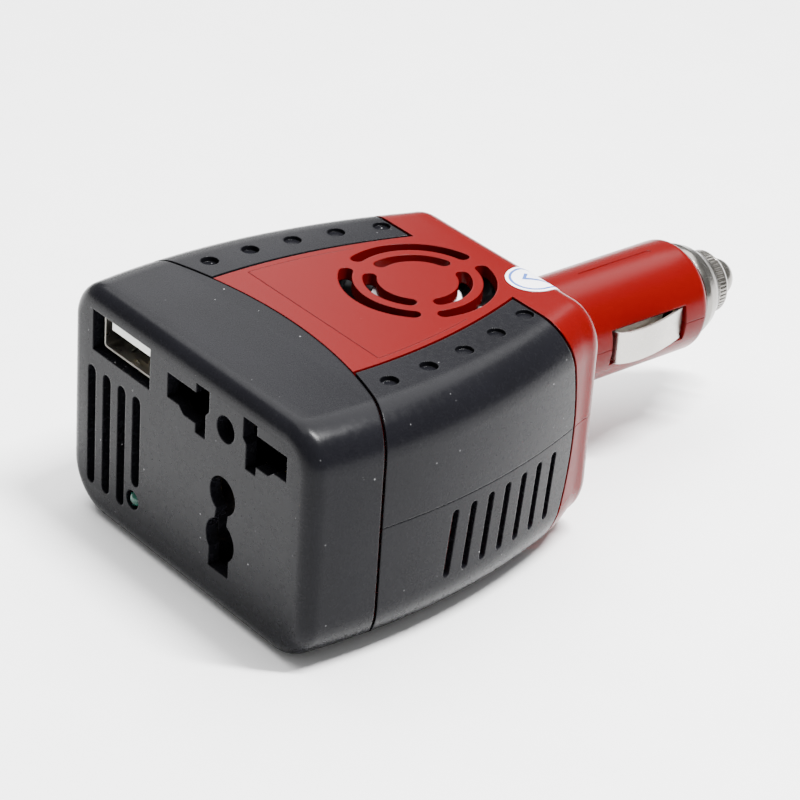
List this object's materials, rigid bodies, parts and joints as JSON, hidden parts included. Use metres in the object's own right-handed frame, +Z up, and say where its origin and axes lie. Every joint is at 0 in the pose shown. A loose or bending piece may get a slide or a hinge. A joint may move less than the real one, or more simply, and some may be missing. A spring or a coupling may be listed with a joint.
{
  "type": "plug-in power inverter",
  "caption": "Car power inverter: red and black case with a universal mains outlet, USB port, vents and a fan, on a sprung vehicle power plug.",
  "frame": {"origin": "centre of the bounding box, on the surface the case rests on", "axes": "+Z up, +Y from the outlet face towards the plug tip, +X to the right seen from the outlet face"},
  "size_m": [0.0668, 0.1186, 0.0423],
  "materials": {
    "black_case": "satin moulded",
    "red_case": "glossy moulded",
    "nickel": "nickel plated",
    "brass": "stamped",
    "white_plastic": "moulded",
    "circuit_board": "solder resist",
    "lamp": "translucent green",
    "ferrite": "sintered",
    "winding": "enamelled copper wire",
    "capacitor": "sleeved can",
    "semiconductor": "moulded epoxy",
    "heat_sink": "extruded",
    "fan_plastic": "moulded",
    "label": "printed",
    "glass": "clear",
    "spring_steel": "drawn wire",
    "red_lead": "insulated wire",
    "black_lead": "insulated wire",
    "sleeve": "insulating sleeve"
  },
  "bodies": {
    "case": {"socket_cap": "black_case", "upper_shell": "red_case", "lower_shell": "red_case", "upper_grip_left": "black_case", "upper_grip_right": "black_case", "lower_grip_left": "black_case", "lower_grip_right": "black_case", "heat_sink_left": "heat_sink", "heat_sink_right": "heat_sink", "transistor_left_front": "semiconductor", "transistor_left_rear": "semiconductor", "transistor_right_front": "semiconductor", "transistor_right_rear": "semiconductor", "socket_insert": "black_case", "neutral_contact": "brass", "live_contact": "brass", "earth_contact": "brass", "usb_shell": "nickel", "usb_tongue": "white_plastic", "usb_contact_1": "brass", "usb_contact_2": "brass", "usb_contact_3": "brass", "usb_contact_4": "brass", "usb_board": "circuit_board", "indicator_lamp": "lamp", "main_board": "circuit_board", "transformer_core": "ferrite", "transformer_coil": "winding", "capacitor_left": "capacitor", "capacitor_right": "capacitor", "fan_frame": "fan_plastic", "nose_bush": "brass", "fuse_sleeve": "sleeve", "spring_seat": "brass", "pin_spring": "spring_steel", "positive_lead": "red_lead", "negative_lead": "black_lead", "live_lead": "black_lead", "neutral_lead": "black_lead", "case_screw_1": "nickel", "case_screw_2": "nickel", "case_screw_3": "nickel", "case_screw_4": "nickel", "inspection_sticker": "label"},
    "fan": {"fan_rotor": "fan_plastic", "rotor_label": "label"},
    "pin": {"centre_pin": "nickel", "fuse_cap_front": "nickel", "fuse_cap_rear": "nickel", "fuse_glass": "glass"},
    "washer": {"cap_washer": "black_case"},
    "cap": {"retaining_cap": "nickel"},
    "clip_left": {"side_contact_left": "nickel"},
    "clip_right": {"side_contact_right": "nickel"}
  },
  "joints": [
    {"name": "fan_spin", "type": "hinge", "parent": "case", "child": "fan", "pos_m": [0, -0.0135, 0.036], "axis": [0, 0, 1], "continuous": true},
    {"name": "pin_press", "type": "slide", "parent": "case", "child": "pin", "axis": [0, -1, 0], "range_m": [0, 0.003], "stiffness_N_per_m": 1500, "springref_m": -0.002, "deforming": ["pin_spring"]},
    {"name": "clip_press_left", "type": "slide", "parent": "case", "child": "clip_left", "axis": [1, 0, 0], "range_m": [0, 0.0012], "stiffness_N_per_m": 2000, "springref_m": -0.0005},
    {"name": "clip_press_right", "type": "slide", "parent": "case", "child": "clip_right", "axis": [-1, 0, 0], "range_m": [0, 0.0012], "stiffness_N_per_m": 2000, "springref_m": -0.0005},
    {"name": "cap_lift", "type": "slide", "parent": "case", "child": "washer", "axis": [0, 1, 0], "range_m": [0, 0.005]},
    {"name": "cap_turn", "type": "hinge", "parent": "washer", "child": "cap", "pos_m": [0, 0.04625, 0.0232], "axis": [0, 1, 0], "range_deg": [0, 1800]}
  ],
  "couplings": [
    {"joint": "cap_turn", "follows": "cap_lift", "rad_per_m": 6283.2}
  ]
}
